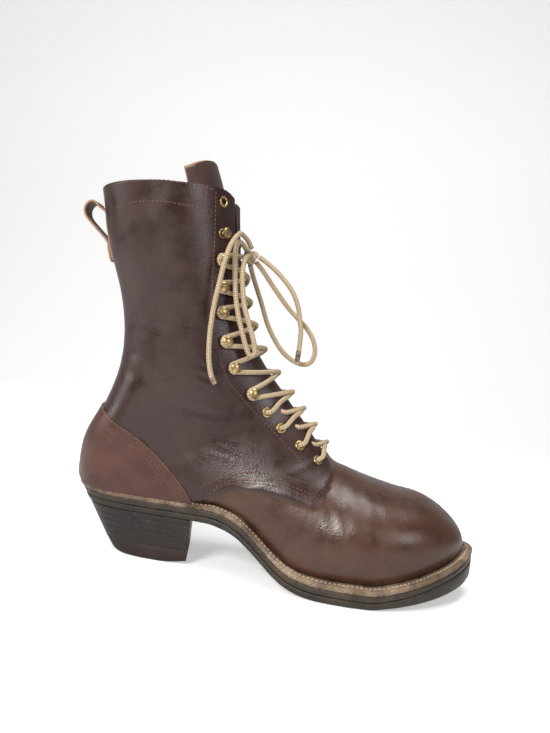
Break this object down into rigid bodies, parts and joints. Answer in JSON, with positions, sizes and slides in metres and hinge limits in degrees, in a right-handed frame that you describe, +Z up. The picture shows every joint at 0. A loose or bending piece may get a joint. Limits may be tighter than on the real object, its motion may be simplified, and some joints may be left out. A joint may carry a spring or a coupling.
{
  "type": "logger boot",
  "caption": "Tall lace-up leather logger boot with stacked raked heel, stitched welt, heel counter, hooks and eyelets down the front, full tongue, tied laces and a pull loop at the back.",
  "frame": {"origin": "on the floor under the flat of the heel cap, at the mount heel_rest", "axes": "+X from heel to toe, +Y to the inner side of the foot, +Z up"},
  "size_m": [0.3261, 0.1142, 0.2985],
  "materials": {
    "sole_rubber": "matt, worn",
    "sole_leather": "burnished edge",
    "welt_leather": "rough stitched top",
    "heel_leather": "burnished edge",
    "insole_leather": "plain",
    "upper_leather": "oiled, rubbed",
    "counter_leather": "oiled",
    "tongue_leather": "soft",
    "loop_leather": "soft, raw edge",
    "aged_brass": "antique",
    "lace_cord": "braided"
  },
  "bodies": {
    "root": {"outsole": "sole_rubber", "midsole": "sole_leather", "welt": "welt_leather", "insole": "insole_leather", "heel_cap": "sole_rubber", "heel_lift_1": "heel_leather", "heel_lift_2": "heel_leather", "heel_lift_3": "heel_leather", "heel_lift_4": "heel_leather", "heel_lift_5": "heel_leather", "upper": "upper_leather", "counter": "counter_leather", "tongue": "tongue_leather", "pull_loop": "loop_leather", "eyelet_lateral_top": "aged_brass", "eyelet_lateral_1": "aged_brass", "eyelet_lateral_2": "aged_brass", "eyelet_lateral_3": "aged_brass", "eyelet_lateral_4": "aged_brass", "hook_lateral_1": "aged_brass", "hook_lateral_2": "aged_brass", "hook_lateral_3": "aged_brass", "hook_lateral_4": "aged_brass", "hook_lateral_5": "aged_brass", "hook_lateral_6": "aged_brass", "hook_lateral_7": "aged_brass", "eyelet_medial_top": "aged_brass", "eyelet_medial_1": "aged_brass", "eyelet_medial_2": "aged_brass", "eyelet_medial_3": "aged_brass", "eyelet_medial_4": "aged_brass", "hook_medial_1": "aged_brass", "hook_medial_2": "aged_brass", "hook_medial_3": "aged_brass", "hook_medial_4": "aged_brass", "hook_medial_5": "aged_brass", "hook_medial_6": "aged_brass", "hook_medial_7": "aged_brass", "lace_cross_1": "lace_cord", "lace_cross_2": "lace_cord", "lace_cross_3": "lace_cord", "lace_cross_4": "lace_cord", "lace_cross_5": "lace_cord", "lace_cross_6": "lace_cord", "lace_cross_7": "lace_cord", "lace_cross_8": "lace_cord", "lace_cross_9": "lace_cord", "lace_knot": "lace_cord", "lace_end_lateral": "lace_cord", "lace_loop_lateral": "lace_cord", "lace_loop_medial": "lace_cord", "lace_end_medial": "lace_cord", "lace_rise_lateral": "lace_cord", "lace_rise_medial": "lace_cord"}
  },
  "joints": []
}
